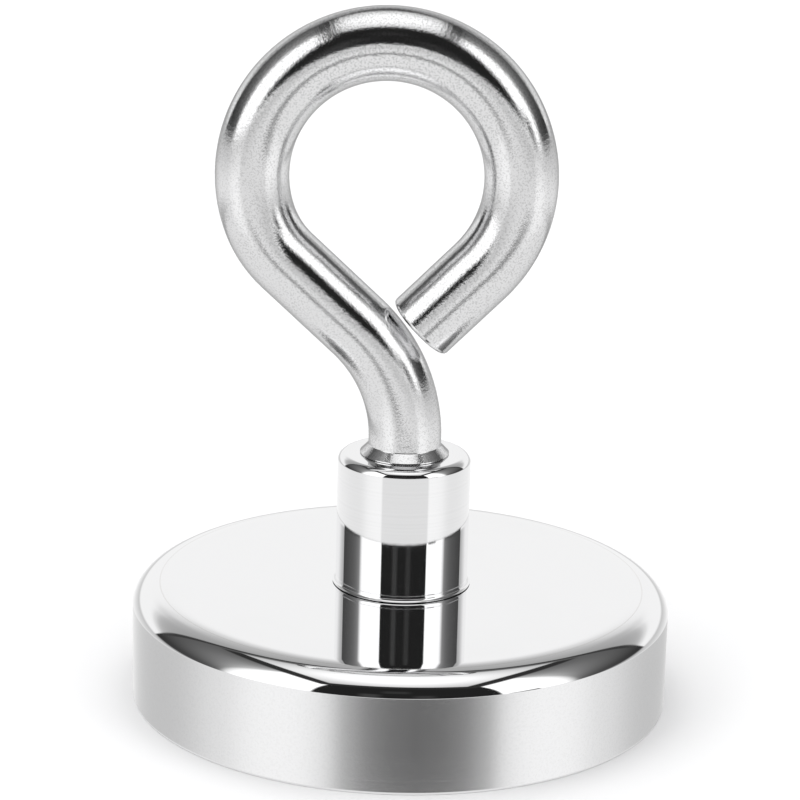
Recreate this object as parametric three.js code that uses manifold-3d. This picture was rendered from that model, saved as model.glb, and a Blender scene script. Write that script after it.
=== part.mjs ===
// A single-sided fishing magnet: a steel cup with a ring magnet bonded and potted inside it, a threaded
// sleeve held on the cup by a countersunk screw from below, and an open eyebolt screwed into the sleeve.
// Millimetres, +Z up. The origin is the centre of the pull face, which is the rim of the cup.
// The eye lies in the XZ plane.

import * as THREE from 'three';
import { mergeVertices } from 'three/addons/utils/BufferGeometryUtils.js';
import Module from 'manifold-3d';

const wasm = await Module();
wasm.setup();

// ---------------------------------------------------------------- driving dimensions

const CLEARANCE = 0.1;              // between bonded or seated neighbours
const ROUND_SIDES = 64;             // facets round the cup and the magnet
const SMALL_SIDES = 40;             // facets round the sleeve and the screw head
const THREAD_SIDES = 20;            // facets in one turn of thread
const CORNER_STEPS = 6;             // facets across a rounded corner
const OVERSHOOT = 1;                // how far a cutting shape reaches past the face it opens

const cup = {
  radius: 33.5, height: 14.5, wall: 3.5, web: 4.6,
  cornerRadius: 3.3, cornerRun: 3.2,    // the rounded corner stops at a crisp line on the wall
  mouthBevel: 0.3,                      // broken edge round the pull face
  holeClearance: 0.45, sinkClearance: 0.15,   // round the screw's thread and its head
};
const magnet = { radius: 28.5, boreRadius: 10.5, bottom: 0.3, bevel: 0.4 };
const bondThickness = 0.25;         // adhesive between the magnet and the cup's web
const pottingBottom = 0.45;         // the potting stands this far behind the pull face

const thread = {                    // M10 x 1.5, right-handed
  pitch: 1.5, coreRadius: 4.12, crestRadius: 4.92,
  coreHalfWidth: 0.56, crestHalfWidth: 0.1, slack: 0.13,
  footDepth: 0.4,                   // how far a rib's foot is sunk in the core
  fadedHeight: 0.1,                 // share of its height that a rib keeps at a faded end
  overrun: 0.3,                     // how far a rib runs past the plain length next to it
};
const screw = {
  length: 12, headRadius: 9, headLand: 0.4, tipChamfer: 0.8,
  socketAcross: 6, socketDepth: 3.2,
};
const sleeve = {
  radius: 8.25, height: 16.8, cornerRadius: 1.2, cornerRun: 1.15,
  footFlare: 0.35,                  // the foot spreads by this much onto the cup
  mouthRadius: 5.08, mouthDepth: 2.2, leadIn: 1.2,
};
const bead = { innerRadius: 4.2, outerRadius: 4.95, height: 1.3, belowShoulder: 0.15 };
const eye = {
  rodRadius: 4.5, rodSides: 16, pathSteps: 72,
  centreX: -3, centreZ: 65.98, ringRadius: 16.26,
  tightRadius: 13, tightAngle: 200, // the ring is bent tighter from this angle on to the shank
  stemRadius: 19,                   // bend between the leaning shank and the upright stem
  leanAngle: 42.6,                  // degrees below level of the leaning shank
  endAngle: 45.5, endLength: 9.8,   // the free end's lean below level and its straight length
  endChamfer: 0.5,
  shoulderRadius: 5.5, shoulderLip: 0.15, // a 45-degree cone joins the shoulder's lip to the rod
  reliefHeight: 2.0, reliefRadius: 4.05,
  threadLength: 8.1, tipChamfer: 0.9,
};

const sleeveTop = cup.height + sleeve.height;
const webUnderside = cup.height - cup.web;
const screwHeadFace = webUnderside + CLEARANCE / 2;
const screwTip = screwHeadFace + screw.length;
const shoulderBottom = sleeveTop + CLEARANCE;
const eyeboltTip = shoulderBottom - eye.threadLength;

// ---------------------------------------------------------------- shape helpers

/** Keeps positions only and joins equal corners, so that the surface is closed. */
function closed(geometry) {
  geometry.deleteAttribute('normal');
  geometry.deleteAttribute('uv');
  return mergeVertices(geometry, 1e-5);
}

/** Turns a profile of [radius, height] points round the Z axis. */
function turned(profile, sides) {
  const points = profile.map(([r, z]) => new THREE.Vector2(r, z));
  return closed(new THREE.LatheGeometry(points, sides).rotateX(Math.PI / 2));
}

/** A ring with a rectangular section. */
function plainRing(innerRadius, outerRadius, bottom, top, sides) {
  return turned([
    [innerRadius, bottom], [outerRadius, bottom], [outerRadius, top], [innerRadius, top],
    [innerRadius, bottom],
  ], sides);
}

/** Points of an arc that leaves a flat top and falls outwards by the run, without its first point. */
function roundedCorner(outerRadius, top, arcRadius, run) {
  const sweep = Math.asin(run / arcRadius);
  const points = [];
  for (let i = 1; i <= CORNER_STEPS; i += 1) {
    const a = (sweep * i) / CORNER_STEPS;
    points.push([outerRadius - run + arcRadius * Math.sin(a), top - arcRadius * (1 - Math.cos(a))]);
  }
  return points;
}

function toSolid(geometry) {
  return new wasm.Manifold(new wasm.Mesh({
    numProp: 3,
    vertProperties: new Float32Array(geometry.attributes.position.array),
    triVerts: new Uint32Array(geometry.index.array),
  }));
}

function fromSolid(solid) {
  const { vertProperties, triVerts } = solid.getMesh();
  const geometry = new THREE.BufferGeometry();
  geometry.setAttribute('position', new THREE.BufferAttribute(vertProperties, 3));
  geometry.setIndex(new THREE.BufferAttribute(triVerts, 1));
  return geometry;
}

/** A right-handed helical rib whose height at every angle is set by the pitch alone, so that every
 *  thread in the model is in step. It is a straight bar wound round Z: the bar's X becomes the radius
 *  and its length becomes the angle. At faded ends the rib sinks into the core. */
function threadRib(bottom, top, grow, endFade) {
  const { pitch, coreRadius, crestRadius, coreHalfWidth, crestHalfWidth } = thread;
  const root = coreRadius - thread.footDepth;
  const flank = (coreHalfWidth - crestHalfWidth) / (crestRadius - coreRadius);
  const rootHalf = coreHalfWidth + flank * (coreRadius - root) + grow;
  const section = new THREE.Shape([
    new THREE.Vector2(root, -rootHalf), new THREE.Vector2(crestRadius + grow, -crestHalfWidth - grow / 2),
    new THREE.Vector2(crestRadius + grow, crestHalfWidth + grow / 2), new THREE.Vector2(root, rootHalf),
  ]);
  const firstStep = Math.round((bottom / pitch) * THREAD_SIDES);
  const steps = Math.round((top / pitch) * THREAD_SIDES) - firstStep;
  const bar = new THREE.ExtrudeGeometry(section, { depth: steps, steps, bevelEnabled: false });
  const position = bar.attributes.position;
  for (let i = 0; i < position.count; i += 1) {
    const step = position.getZ(i);
    const halfTurns = (Math.min(step, steps - step) * 2) / THREAD_SIDES;
    const fade = Math.min(1, halfTurns + thread.fadedHeight);
    const radius = root + (position.getX(i) - root) * (endFade ? fade : 1);
    const angle = ((firstStep + step) * 2 * Math.PI) / THREAD_SIDES;
    const height = (pitch * angle) / (2 * Math.PI) - position.getY(i);
    position.setXYZ(i, radius * Math.cos(angle), radius * Math.sin(angle), height);
  }
  return toSolid(closed(bar));
}

// ---------------------------------------------------------------- sub-parts

function steelCup() {
  const { radius, height, wall, mouthBevel } = cup;
  const inner = radius - wall;
  const holeRadius = thread.crestRadius + cup.holeClearance;
  const sinkRadius = screw.headRadius + cup.sinkClearance;
  const sinkLand = webUnderside + screw.headLand + CLEARANCE / 2;
  const corner = roundedCorner(radius, height, cup.cornerRadius, cup.cornerRun);
  return turned([
    [inner, 0], [radius - mouthBevel, 0], [radius, mouthBevel],
    ...corner.reverse(), [radius - cup.cornerRun, height],
    [holeRadius, height], [holeRadius, sinkLand + sinkRadius - holeRadius],
    [sinkRadius, sinkLand], [sinkRadius, webUnderside], [inner, webUnderside], [inner, 0],
  ], ROUND_SIDES);
}

function ringMagnet() {
  const { radius, boreRadius, bottom, bevel } = magnet;
  const top = webUnderside - bondThickness - 2 * CLEARANCE;
  return turned([
    [boreRadius, bottom + bevel], [boreRadius + bevel, bottom], [radius - bevel, bottom],
    [radius, bottom + bevel], [radius, top - bevel], [radius - bevel, top],
    [boreRadius + bevel, top], [boreRadius, top - bevel], [boreRadius, bottom + bevel],
  ], ROUND_SIDES);
}

function magnetBond() {
  const top = webUnderside - CLEARANCE;
  const { boreRadius, radius, bevel } = magnet;
  return plainRing(boreRadius + bevel, radius - bevel, top - bondThickness, top, ROUND_SIDES);
}

function pottingRing() {
  const inner = magnet.radius + CLEARANCE;
  const outer = cup.radius - cup.wall - CLEARANCE;
  return plainRing(inner, outer, pottingBottom, webUnderside - CLEARANCE, ROUND_SIDES);
}

/** Countersunk screw with its head down and a hexagon socket in the head. */
function countersunkScrew() {
  const { headRadius, headLand, tipChamfer, socketAcross, socketDepth } = screw;
  const { coreRadius, crestRadius } = thread;
  const neckHeight = screwHeadFace + headLand + headRadius - crestRadius;
  const body = toSolid(turned([
    [0, screwHeadFace], [headRadius, screwHeadFace], [headRadius, screwHeadFace + headLand],
    [crestRadius, neckHeight], [coreRadius, neckHeight], [coreRadius, screwTip - tipChamfer],
    [coreRadius - tipChamfer, screwTip], [0, screwTip],
  ], SMALL_SIDES));
  const rib = threadRib(cup.height - thread.overrun, screwTip - tipChamfer, 0, true);
  const socketRadius = socketAcross / Math.sqrt(3);
  const socket = new THREE.CylinderGeometry(socketRadius, socketRadius, socketDepth * 2, 6);
  socket.rotateX(Math.PI / 2).translate(0, 0, screwHeadFace);
  return fromSolid(body.add(rib).subtract(toSolid(closed(socket))));
}

/** Threaded right through, with a plain counterbore at the top for the thread-lock. */
function couplingSleeve() {
  const { radius, footFlare, cornerRun, mouthRadius, mouthDepth, leadIn } = sleeve;
  const bottom = cup.height + CLEARANCE;
  const corner = roundedCorner(radius, sleeveTop, sleeve.cornerRadius, cornerRun);
  const outside = toSolid(turned([
    [0, bottom], [radius + footFlare, bottom], [radius, bottom + footFlare],
    ...corner.reverse(), [radius - cornerRun, sleeveTop], [0, sleeveTop],
  ], SMALL_SIDES));
  const boreRadius = thread.coreRadius + thread.slack;
  const mouthBottom = sleeveTop - mouthDepth;
  const bore = toSolid(turned([
    [0, bottom - OVERSHOOT], [boreRadius, bottom - OVERSHOOT], [boreRadius, mouthBottom - leadIn],
    [mouthRadius, mouthBottom], [mouthRadius, sleeveTop + OVERSHOOT], [0, sleeveTop + OVERSHOOT],
  ], THREAD_SIDES * 2));
  const groove = threadRib(bottom - OVERSHOOT, mouthBottom + thread.overrun, thread.slack, false);
  return fromSolid(outside.subtract(bore.add(groove)));
}

/** Ring of cured thread-locking compound in the relief under the eyebolt's shoulder. */
function threadLockBead() {
  const top = shoulderBottom - bead.belowShoulder;
  return plainRing(bead.innerRadius, bead.outerRadius, top - bead.height, top, SMALL_SIDES);
}

/** The centre line of the bent rod, from inside the shoulder up round the eye to the free end. */
class RodCurve extends THREE.Curve {
  constructor() {
    super();
    const { centreX, centreZ, ringRadius, tightRadius, stemRadius } = eye;
    const lean = THREE.MathUtils.degToRad(eye.leanAngle);
    const end = THREE.MathUtils.degToRad(eye.endAngle);
    const tight = THREE.MathUtils.degToRad(eye.tightAngle);
    // both bends share a tangent at this angle, so the tighter one is centred on the same radius
    const tightX = centreX + (ringRadius - tightRadius) * Math.cos(tight);
    const tightZ = centreZ + (ringRadius - tightRadius) * Math.sin(tight);
    // the lean leaves the tighter bend square to this radius, at its lower left
    const leave = 1.5 * Math.PI - lean;
    const leaveX = tightX + tightRadius * Math.cos(leave);
    const leaveZ = tightZ + tightRadius * Math.sin(leave);
    // length of the leaning shank that brings the stem bend onto the Z axis
    const shank = (-leaveX - stemRadius * (1 - Math.sin(lean))) / Math.cos(lean);
    const bendTopZ = leaveZ - shank * Math.sin(lean);
    const bendZ = bendTopZ - stemRadius * Math.cos(lean);
    const finish = -(Math.PI / 2 - end);
    this.path = new THREE.Path();
    this.path.moveTo(0, shoulderBottom + eye.shoulderLip);
    this.path.lineTo(0, bendZ);
    this.path.absarc(-stemRadius, bendZ, stemRadius, 0, Math.PI / 2 - lean, false);
    this.path.lineTo(leaveX, leaveZ);
    this.path.absarc(tightX, tightZ, tightRadius, leave, tight, true);
    this.path.absarc(centreX, centreZ, ringRadius, tight, finish, true);
    this.endDirection = new THREE.Vector3(-Math.cos(end), 0, -Math.sin(end));
    this.path.lineTo(
      centreX + ringRadius * Math.cos(finish) + this.endDirection.x * eye.endLength,
      centreZ + ringRadius * Math.sin(finish) + this.endDirection.z * eye.endLength,
    );
  }

  getPoint(t, target = new THREE.Vector3()) {
    const point = this.path.getPoint(t);
    return target.set(point.x, 0, point.y);
  }
}

function eyebolt() {
  const { rodRadius, rodSides, pathSteps, endChamfer, shoulderRadius } = eye;
  const curve = new RodCurve();
  const section = new THREE.Shape();
  for (let i = 0; i < rodSides; i += 1) {
    const a = (i * 2 * Math.PI) / rodSides;
    const [x, y] = [rodRadius * Math.cos(a), rodRadius * Math.sin(a)];
    if (i === 0) section.moveTo(x, y);
    else section.lineTo(x, y);
  }
  const rod = toSolid(closed(new THREE.ExtrudeGeometry(section, { steps: pathSteps, extrudePath: curve })));

  const cap = new THREE.CylinderGeometry(rodRadius - endChamfer, rodRadius, endChamfer, rodSides);
  cap.translate(0, endChamfer / 2, 0);
  cap.applyQuaternion(new THREE.Quaternion().setFromUnitVectors(
    new THREE.Vector3(0, 1, 0), curve.endDirection));
  const endPoint = curve.getPoint(1);
  cap.translate(endPoint.x, endPoint.y, endPoint.z);

  const reliefBottom = shoulderBottom - eye.reliefHeight;
  const lipTop = shoulderBottom + eye.shoulderLip;
  const coneTop = lipTop + shoulderRadius - rodRadius;
  const { coreRadius } = thread;
  const lower = toSolid(turned([
    [0, eyeboltTip], [coreRadius - eye.tipChamfer, eyeboltTip],
    [coreRadius, eyeboltTip + eye.tipChamfer], [coreRadius, reliefBottom],
    [eye.reliefRadius, reliefBottom], [eye.reliefRadius, shoulderBottom],
    [shoulderRadius, shoulderBottom], [shoulderRadius, lipTop], [rodRadius, coneTop], [0, coneTop],
  ], THREAD_SIDES));
  const rib = threadRib(eyeboltTip + eye.tipChamfer / 2, reliefBottom + thread.overrun, 0, true);
  return fromSolid(rod.add(toSolid(closed(cap))).add(lower).add(rib));
}

// ---------------------------------------------------------------- materials and assembly

const finish = (color, roughness, metalness) => new THREE.MeshStandardMaterial({
  color, roughness, metalness, flatShading: true,
});

const chrome = () => finish(0xe6e7ea, 0.12, 1);
const subParts = [
  ['steel_cup', steelCup(), chrome()],
  ['ring_magnet', ringMagnet(), finish(0xb9bcc1, 0.3, 1)],
  ['magnet_bond', magnetBond(), finish(0xd8cfa8, 0.5, 0)],
  ['potting_ring', pottingRing(), finish(0x15161a, 0.45, 0)],
  ['countersunk_screw', countersunkScrew(), finish(0xa7abb0, 0.35, 1)],
  ['coupling_sleeve', couplingSleeve(), chrome()],
  ['thread_lock_bead', threadLockBead(), finish(0x2b4fa3, 0.5, 0)],
  ['eyebolt', eyebolt(), finish(0xd5d7da, 0.22, 1)],
];

const assembly = new THREE.Group();
for (const [name, geometry, material] of subParts) {
  geometry.computeVertexNormals();
  const mesh = new THREE.Mesh(geometry, material);
  mesh.name = name;
  assembly.add(mesh);
}

export default assembly;
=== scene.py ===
import math

import bmesh
import bpy
from bpy.props import FloatProperty, FloatVectorProperty, IntProperty, PointerProperty
from mathutils import Matrix, Vector


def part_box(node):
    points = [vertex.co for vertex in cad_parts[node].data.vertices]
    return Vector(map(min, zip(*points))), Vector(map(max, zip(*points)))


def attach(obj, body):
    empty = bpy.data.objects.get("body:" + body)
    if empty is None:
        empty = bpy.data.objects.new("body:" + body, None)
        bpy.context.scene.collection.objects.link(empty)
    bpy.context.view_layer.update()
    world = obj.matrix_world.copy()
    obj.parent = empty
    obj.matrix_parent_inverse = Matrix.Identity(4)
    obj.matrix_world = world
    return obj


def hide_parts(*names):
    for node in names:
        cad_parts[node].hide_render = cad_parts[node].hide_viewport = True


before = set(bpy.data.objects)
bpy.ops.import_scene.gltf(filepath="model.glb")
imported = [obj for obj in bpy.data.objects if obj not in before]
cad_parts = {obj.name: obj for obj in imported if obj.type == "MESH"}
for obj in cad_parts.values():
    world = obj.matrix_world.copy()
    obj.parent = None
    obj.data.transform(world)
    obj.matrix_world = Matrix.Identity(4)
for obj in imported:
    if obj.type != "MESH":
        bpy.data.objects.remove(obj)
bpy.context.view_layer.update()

bl_info = {
    "name": "Fishing Magnet",
    "version": (1, 0, 0),
    "blender": (4, 5, 0),
    "location": "3D View > Sidebar > Magnet",
    "description": "Builds a cup magnet with a threaded sleeve and an open eyebolt, piece by piece",
    "category": "Add Mesh",
}

MM = 0.001
BOX = {node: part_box(node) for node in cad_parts}


# ------------------------------------------------------------------ sizes and colours

def length(name, description, default_mm):
    return FloatProperty(name=name, description=description, default=default_mm * MM,
                         subtype="DISTANCE", unit="LENGTH", precision=5)


def colour(name, description, default):
    return FloatVectorProperty(name=name, description=description, default=default,
                               subtype="COLOR", size=3, min=0.0, max=1.0)


def high(node, axis):
    return BOX[node][1][axis] / MM


class CupSizes(bpy.types.PropertyGroup):
    radius: length("Radius", "Outside radius of the cup", high("steel_cup", 0))
    height: length("Height", "From the pull face to the flat top", high("steel_cup", 2))
    wall: length("Wall", "Thickness of the side wall", 3.5)
    web: length("Web", "Thickness of the flat top", 4.6)
    easing: length("Easing", "Large radius with which the flat top starts to fall away", 13.1)
    easing_start: length("Easing start", "Radius at which the flat top ends", 28.6)
    corner: length("Corner", "Radius of the rounded shoulder", 3.37)
    crease: length("Crease", "Softness of the line between shoulder and wall", 0.22)
    hole: length("Hole", "Radius of the hole for the screw", 5.37)
    sink: length("Sink", "Radius of the countersink at its mouth", 9.15)


class MagnetSizes(bpy.types.PropertyGroup):
    radius: length("Radius", "Outside radius of the ring magnet", high("ring_magnet", 0))
    bore: length("Bore", "Radius of the hole through the magnet", 10.5)
    rounding: length("Rounding", "Rounding of the plated edges", 0.4)
    meniscus: length("Meniscus", "How far the cured potting sinks between its walls", 0.22)


class ThreadSizes(bpy.types.PropertyGroup):
    pitch: length("Pitch", "Height of one turn", 1.5)
    core: length("Core", "Radius at the root", 4.12)
    crest: length("Crest", "Radius at the crest", 4.92)
    slack: length("Slack", "Clearance cut into the female thread", 0.13)
    turn_steps: IntProperty(name="Steps", description="Facets in one turn", default=48, min=12)


class SleeveSizes(bpy.types.PropertyGroup):
    radius: length("Radius", "Outside radius above the foot", high("coupling_sleeve", 0) - 0.35)
    flare: length("Flare", "How far the hollow foot spreads onto the cup", 0.35)
    corner: length("Corner", "Radius of the rounded rim", 1.2)
    corner_run: length("Corner run", "How far in the rim starts to round", 1.15)
    mouth: length("Mouth", "Radius of the plain mouth", 5.08)
    mouth_depth: length("Mouth depth", "Depth of the plain mouth", 2.2)


class EyeSizes(bpy.types.PropertyGroup):
    rod: length("Rod", "Radius of the bent rod", 4.5)
    stem_bend: length("Stem bend", "Radius of the bend above the sleeve", 19.0)
    tight_bend: length("Tight bend", "Radius where the ring runs into the leaning shank", 13.0)
    tight_from: FloatProperty(name="Tight from", description="Where on the ring the tight bend starts",
                              default=math.radians(200.0), subtype="ANGLE", unit="ROTATION")
    lean: FloatProperty(name="Lean", description="Slope of the leaning shank",
                        default=math.radians(42.6), subtype="ANGLE", unit="ROTATION")
    end_lean: FloatProperty(name="End lean", description="Slope of the free end",
                            default=math.radians(45.5), subtype="ANGLE", unit="ROTATION")
    end_length: length("End length", "Straight length before the free end", 9.8)
    shoulder: length("Shoulder", "Radius of the shoulder that seats on the sleeve", 5.5)
    lip: length("Lip", "Height of the shoulder's edge, below its cone", 0.15)
    relief: length("Relief", "Radius of the undercut below the shoulder", 4.05)
    relief_height: length("Relief height", "Height of the undercut", 2.0)


class ScrewSizes(bpy.types.PropertyGroup):
    head: length("Head", "Radius of the countersunk head", 9.0)
    land: length("Land", "Height of the head's cylindrical edge", 0.4)
    socket: length("Socket", "Width across the flats of the hexagon", 6.0)
    socket_depth: length("Socket depth", "Depth of the hexagon", 3.2)


class FinishColours(bpy.types.PropertyGroup):
    plating: colour("Plating", "Bright plating of the cup and the sleeve", (0.93, 0.93, 0.935))
    rod: colour("Rod", "Satin plating of the eyebolt", (0.87, 0.87, 0.875))
    nickel: colour("Nickel", "Plating of the ring magnet", (0.66, 0.645, 0.61))
    steel: colour("Steel", "Zinc-plated screw", (0.62, 0.63, 0.65))
    potting: colour("Potting", "Cured black resin round the magnet", (0.011, 0.011, 0.012))
    adhesive: colour("Adhesive", "Cured glue above the magnet", (0.62, 0.56, 0.38))
    thread_lock: colour("Thread-lock", "Cured thread-lock", (0.02, 0.075, 0.36))
    floor: colour("Floor", "Studio floor", (0.86, 0.86, 0.865))


class FishingMagnet(bpy.types.PropertyGroup):
    cup: PointerProperty(type=CupSizes)
    magnet: PointerProperty(type=MagnetSizes)
    thread: PointerProperty(type=ThreadSizes)
    sleeve: PointerProperty(type=SleeveSizes)
    eye: PointerProperty(type=EyeSizes)
    screw: PointerProperty(type=ScrewSizes)
    colours: PointerProperty(type=FinishColours)


# ------------------------------------------------------------------ hand tools

def clear():
    """Leaves edit mode and selects nothing, so that the next tool acts only on its own piece."""
    if bpy.context.object and bpy.context.object.mode != "OBJECT":
        bpy.ops.object.mode_set(mode="OBJECT")
    bpy.ops.object.select_all(action="DESELECT")


def pick(piece):
    clear()
    piece.select_set(True)
    bpy.context.view_layer.objects.active = piece


def edit(piece, mode="VERT"):
    pick(piece)
    bpy.ops.object.mode_set(mode="EDIT")
    bpy.ops.mesh.select_mode(type=mode)
    bpy.ops.mesh.select_all(action="DESELECT")


def select_where(piece, kind, test):
    """Selects the vertices, edges or faces of the edited piece for which the test holds."""
    mesh = bmesh.from_edit_mesh(piece.data)
    for element in getattr(mesh, kind):
        element.select_set(bool(test(element)))
    mesh.select_flush_mode()
    bmesh.update_edit_mesh(piece.data)


def finish_mesh(piece, smooth_degrees=10.0):
    """Joins doubles, turns every face outwards and sets smooth shading up to an angle."""
    pick(piece)
    bpy.ops.object.mode_set(mode="EDIT")
    bpy.ops.mesh.select_all(action="SELECT")
    bpy.ops.mesh.remove_doubles(threshold=1e-6)
    bpy.ops.mesh.normals_make_consistent(inside=False)
    bpy.ops.object.mode_set(mode="OBJECT")
    bpy.ops.object.transform_apply(location=True, rotation=True, scale=True)
    bpy.ops.object.shade_smooth_by_angle(angle=math.radians(smooth_degrees))
    clear()
    return piece


def combine(piece, tool, operation):
    """Joins, cuts or intersects a piece with a tool, and removes the tool."""
    pick(piece)
    modifier = piece.modifiers.new("combine", "BOOLEAN")
    modifier.operation, modifier.solver, modifier.object = operation, "EXACT", tool
    bpy.ops.object.modifier_apply(modifier=modifier.name)
    bpy.data.objects.remove(tool, do_unlink=True)
    return piece


def arc(centre_r, centre_z, radius, start, end, steps):
    """Points of an arc in the profile plane, both ends included; angles are in degrees."""
    points = []
    for i in range(steps + 1):
        a = math.radians(start + (end - start) * i / steps)
        points.append((centre_r + radius * math.cos(a), centre_z + radius * math.sin(a)))
    return points


def eased(corners, closed=True, steps=8, loop=0.06 * MM):
    """A profile from corners given as (radius, height, rounding). Each rounded corner becomes an arc
    with a ring just outside both its ends, which keeps the shading of the flats beside it level."""
    points = []
    for i, (r, z, rounding) in enumerate(corners):
        if not rounding or (not closed and i in (0, len(corners) - 1)):
            points.append((r, z))
            continue
        corner = Vector((r, z))
        back = (Vector(corners[i - 1][:2]) - corner).normalized()
        ahead = (Vector(corners[(i + 1) % len(corners)][:2]) - corner).normalized()
        half = back.angle(ahead) / 2
        reach = rounding / math.tan(half)
        centre = corner + (back + ahead).normalized() * (rounding / math.sin(half))
        first, last = corner + back * reach - centre, corner + ahead * reach - centre
        sweep = first.angle_signed(last)
        points.append(tuple(corner + back * (reach + loop)))
        for k in range(steps + 1):
            turned = Matrix.Rotation(-sweep * k / steps, 2) @ first
            points.append(tuple(centre + turned))
        points.append(tuple(corner + ahead * (reach + loop)))
    return points


def turn(name, profile, sides, closed=True):
    """Turns a profile of (radius, height) points: a circle is extruded ring by ring along it. An open
    profile gets a flat cap at each end; a closed one comes back to its first ring."""
    clear()
    radius, height = profile[0]
    bpy.ops.mesh.primitive_circle_add(vertices=sides, radius=radius, fill_type="NOTHING",
                                      location=(0, 0, height))
    piece = bpy.context.object
    piece.name = piece.data.name = name
    bpy.ops.object.transform_apply(location=True)
    bpy.ops.object.mode_set(mode="EDIT")
    bpy.ops.mesh.select_mode(type="VERT")
    bpy.ops.mesh.select_all(action="SELECT")
    if not closed:
        bpy.ops.mesh.edge_face_add()
        bpy.ops.mesh.select_mode(type="FACE")
    for next_radius, next_height in profile[1:] + (profile[:1] if closed else []):
        ring_step(radius, height, next_radius, next_height)
        radius, height = next_radius, next_height
    return finish_mesh(piece)


def ring_step(radius, height, next_radius, next_height):
    """Extrudes the selected ring or cap to the next radius and height."""
    bpy.ops.mesh.extrude_region_move(
        TRANSFORM_OT_translate={"value": (0, 0, next_height - height)})
    if abs(next_radius - radius) > 1e-9:
        scale = next_radius / radius
        bpy.ops.transform.resize(value=(scale, scale, 1), center_override=(0, 0, next_height))


def thread_bar(name, grow, bottom, top):
    """A right-handed threaded bar. Every bar made here is in step, because its height at any angle
    is set by the pitch alone. The profile of one pitch is wound up the Z axis."""
    size = bpy.context.scene.fishing_magnet.thread
    pitch, core, crest = size.pitch, size.core + grow, size.crest + grow
    half_root, half_crest = 0.56 * MM + grow / 2, 0.1 * MM + grow / 2
    turns_below = math.floor(bottom / pitch) - 1
    turns = math.ceil((top - bottom) / pitch) + 3
    base = turns_below * pitch
    profile = [(core, half_root), (core, pitch - half_root), (crest, pitch - half_crest),
               (crest, pitch + half_crest), (core, pitch + half_root)]
    clear()
    mesh = bpy.data.meshes.new(name)
    mesh.from_pydata([(r, 0, base + z) for r, z in profile], [(i, i + 1) for i in range(4)], [])
    bar = bpy.data.objects.new(name, mesh)
    bpy.context.scene.collection.objects.link(bar)
    pick(bar)
    winding = bar.modifiers.new("winding", "SCREW")
    winding.axis, winding.angle, winding.screw_offset = "Z", 2 * math.pi, pitch
    winding.iterations = turns
    winding.steps = winding.render_steps = size.turn_steps
    bpy.ops.object.modifier_apply(modifier=winding.name)
    bpy.ops.object.mode_set(mode="EDIT")
    bpy.ops.mesh.select_all(action="SELECT")
    bpy.ops.mesh.remove_doubles(threshold=1e-6)
    for height, outer in ((bottom, False), (top, True)):
        bpy.ops.mesh.select_all(action="SELECT")
        bpy.ops.mesh.bisect(plane_co=(0, 0, height), plane_no=(0, 0, 1), use_fill=True,
                            clear_outer=outer, clear_inner=not outer, threshold=1e-7)
    bpy.ops.mesh.select_all(action="SELECT")
    bpy.ops.mesh.normals_make_consistent(inside=False)
    clear()
    return bar


def register_piece(piece, body, slot, material, *nodes):
    """Gives a finished piece its finish and its body, and hides the plain nodes that it stands for."""
    piece.data.materials.clear()
    piece.data.materials.append(material)
    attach(piece, body)
    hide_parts(*nodes)
    return piece


# ------------------------------------------------------------------ shader tools

class Graph:
    """Adds nodes to a tree and joins their sockets."""

    def __init__(self, tree):
        self.tree = tree

    def add(self, kind, inputs=None, **settings):
        node = self.tree.nodes.new(kind)
        for key, value in settings.items():
            setattr(node, key, value)
        for key, value in (inputs or {}).items():
            self.put(node.inputs[key], value)
        return node

    def put(self, socket, value):
        if isinstance(value, bpy.types.NodeSocket):
            self.tree.links.new(value, socket)
        else:
            socket.default_value = value

    def math(self, operation, *values, clamp=False):
        inputs = dict(enumerate(values))
        return self.add("ShaderNodeMath", inputs, operation=operation, use_clamp=clamp).outputs[0]

    def plus(self, first, second):
        return self.math("ADD", first, second)

    def minus(self, first, second):
        return self.math("SUBTRACT", first, second)

    def times(self, first, second):
        return self.math("MULTIPLY", first, second)

    def ratio(self, first, second):
        return self.math("DIVIDE", first, second)

    def blend(self, factor, first, second):
        return self.add("ShaderNodeMix", {"Factor": factor, 2: first, 3: second}).outputs[0]

    def remap(self, value, low_in, high_in, low_out=0.0, high_out=1.0):
        return self.add("ShaderNodeMapRange", {
            "Value": value, "From Min": low_in, "From Max": high_in,
            "To Min": low_out, "To Max": high_out}, clamp=True).outputs["Result"]

    def mix(self, factor, first, second):
        node = self.add("ShaderNodeMix", {"Factor": factor}, data_type="RGBA")
        self.put(node.inputs[6], first)
        self.put(node.inputs[7], second)
        return node.outputs[2]

    def noise(self, vector, scale, detail=2.0, roughness=0.5):
        inputs = {"Vector": vector, "Scale": scale, "Detail": detail, "Roughness": roughness}
        return self.add("ShaderNodeTexNoise", inputs).outputs["Fac"]

    def noise_along(self, distance, scale, detail, roughness):
        """Noise along a single distance, such as a height or a radius."""
        inputs = {"W": distance, "Scale": scale, "Detail": detail, "Roughness": roughness}
        return self.add("ShaderNodeTexNoise", inputs, noise_dimensions="1D").outputs["Fac"]


def group_tree(name, inputs, outputs):
    """An empty shader group with named sockets; gives its graph, its inputs and its output node."""
    tree = bpy.data.node_groups.new(name, "ShaderNodeTree")
    for socket, kind, default in inputs:
        made = tree.interface.new_socket(socket, in_out="INPUT", socket_type=kind)
        if default is not None:
            made.default_value = default
    for socket, kind in outputs:
        tree.interface.new_socket(socket, in_out="OUTPUT", socket_type=kind)
    graph = Graph(tree)
    source = graph.add("NodeGroupInput").outputs
    sink = graph.add("NodeGroupOutput").inputs
    return graph, source, sink


FLOAT, VECTOR = "NodeSocketFloat", "NodeSocketVector"


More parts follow.
